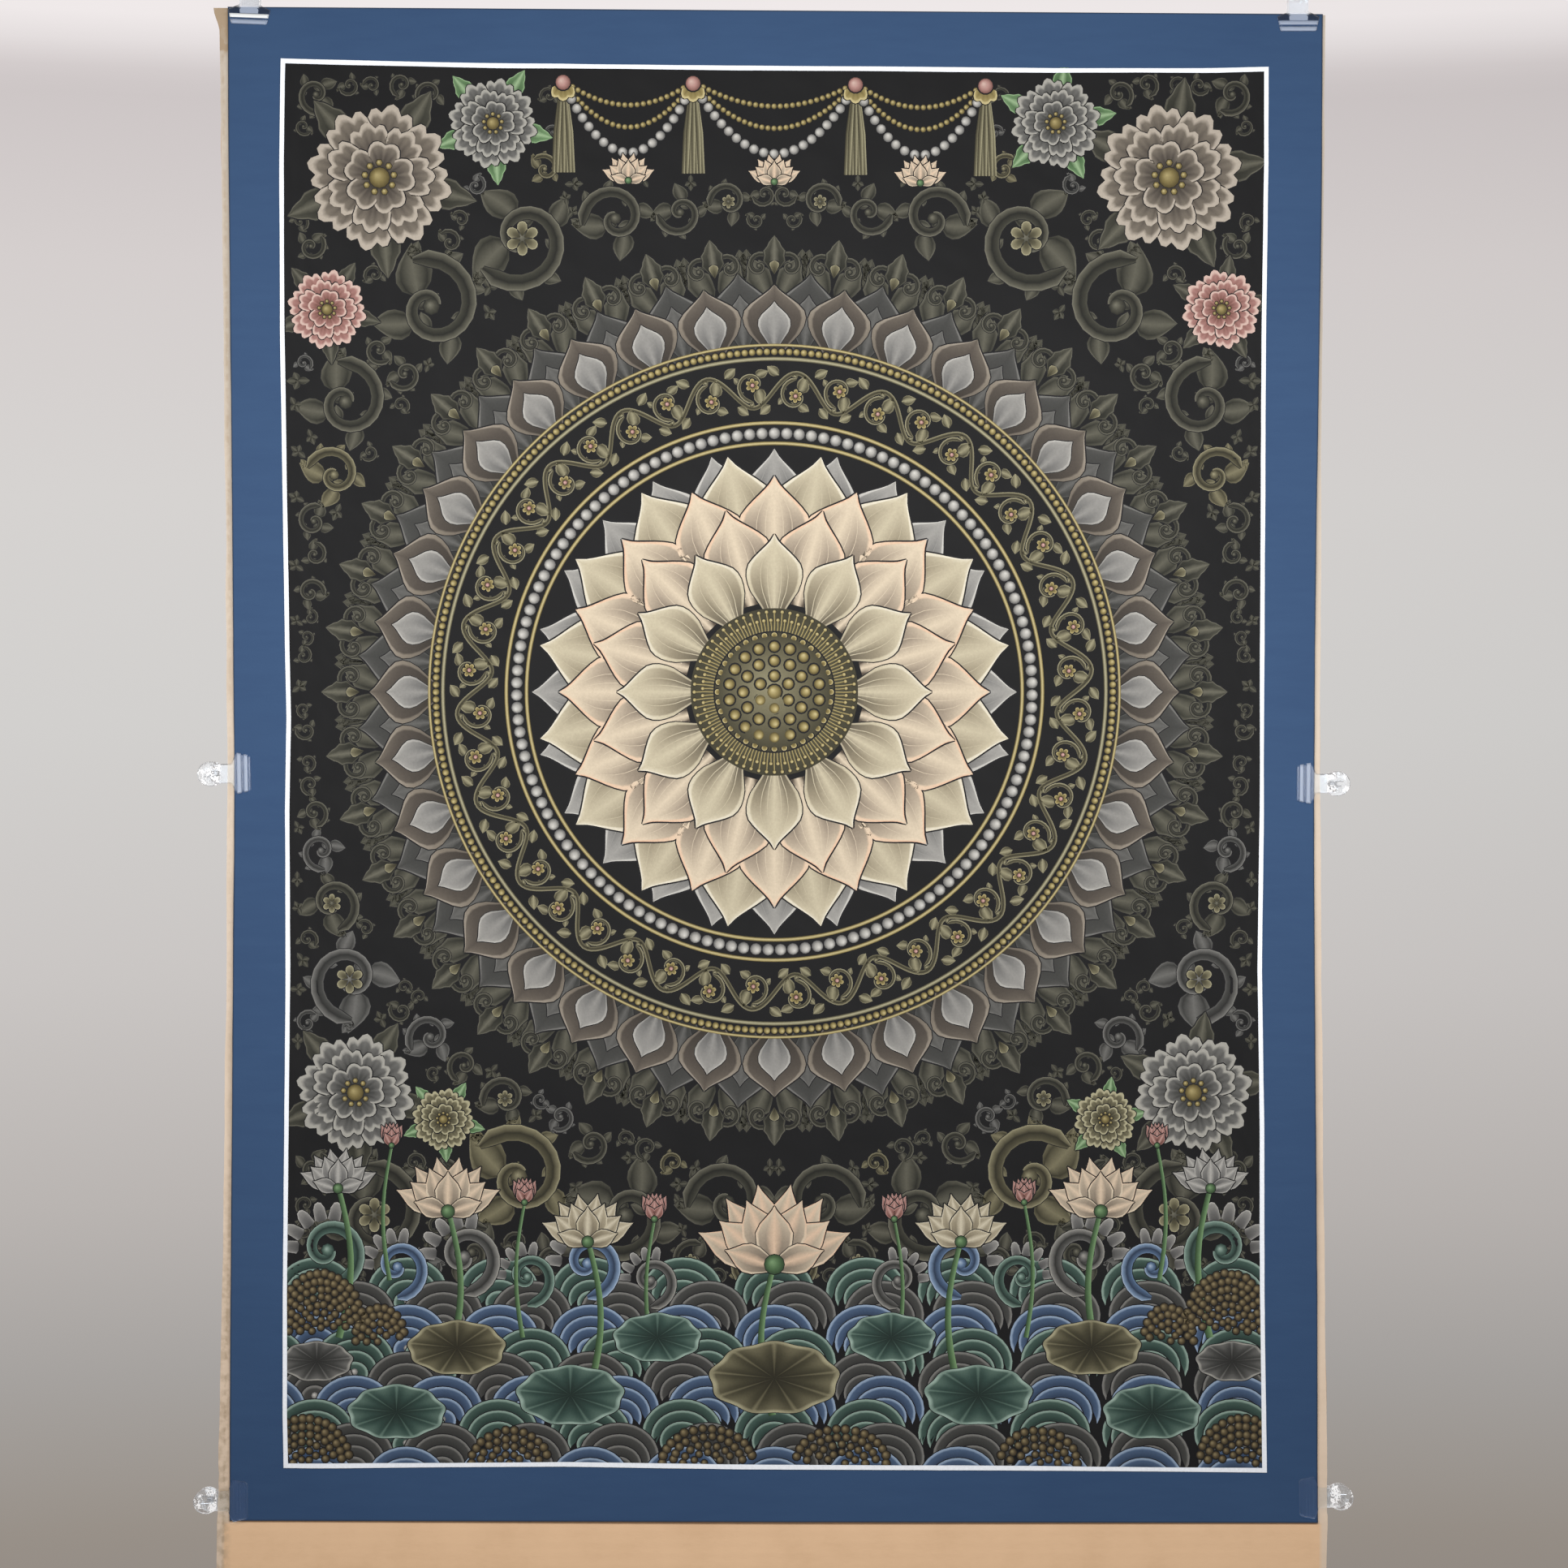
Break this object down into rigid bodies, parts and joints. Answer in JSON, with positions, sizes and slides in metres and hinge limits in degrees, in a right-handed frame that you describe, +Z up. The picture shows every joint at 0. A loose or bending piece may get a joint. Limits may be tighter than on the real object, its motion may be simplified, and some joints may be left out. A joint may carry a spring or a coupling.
{
  "type": "thangka painting and backing board",
  "caption": "Painted cotton canvas with a plain dark blue border, held by clear spring clips to a slightly larger, gently bowed card backing board.",
  "frame": {"origin": "middle of the backing board's top edge, on its back face, where it is hung", "axes": "+Z up, the painted face looks along -Y, the board's back along +Y, +X to the viewer's right"},
  "size_m": [0.693, 0.0384, 0.9842],
  "materials": {
    "painted_canvas": "matt mineral paint on primed cotton",
    "backing_card": "uncoated kraft card",
    "clear_plastic": "clear, glossy, moulded",
    "spring_wire": "bright drawn spring wire"
  },
  "bodies": {
    "root": {"painted_canvas": "painted_canvas", "backing_board": "backing_card", "clip_top_left_front_lever": "clear_plastic", "clip_top_left_rear_lever": "clear_plastic", "clip_top_left_spring": "spring_wire", "clip_top_right_front_lever": "clear_plastic", "clip_top_right_rear_lever": "clear_plastic", "clip_top_right_spring": "spring_wire", "clip_mid_left_front_lever": "clear_plastic", "clip_mid_left_rear_lever": "clear_plastic", "clip_mid_left_spring": "spring_wire", "clip_mid_right_front_lever": "clear_plastic", "clip_mid_right_rear_lever": "clear_plastic", "clip_mid_right_spring": "spring_wire", "clip_low_left_front_lever": "clear_plastic", "clip_low_left_rear_lever": "clear_plastic", "clip_low_left_spring": "spring_wire", "clip_low_right_front_lever": "clear_plastic", "clip_low_right_rear_lever": "clear_plastic", "clip_low_right_spring": "spring_wire"}
  },
  "joints": []
}
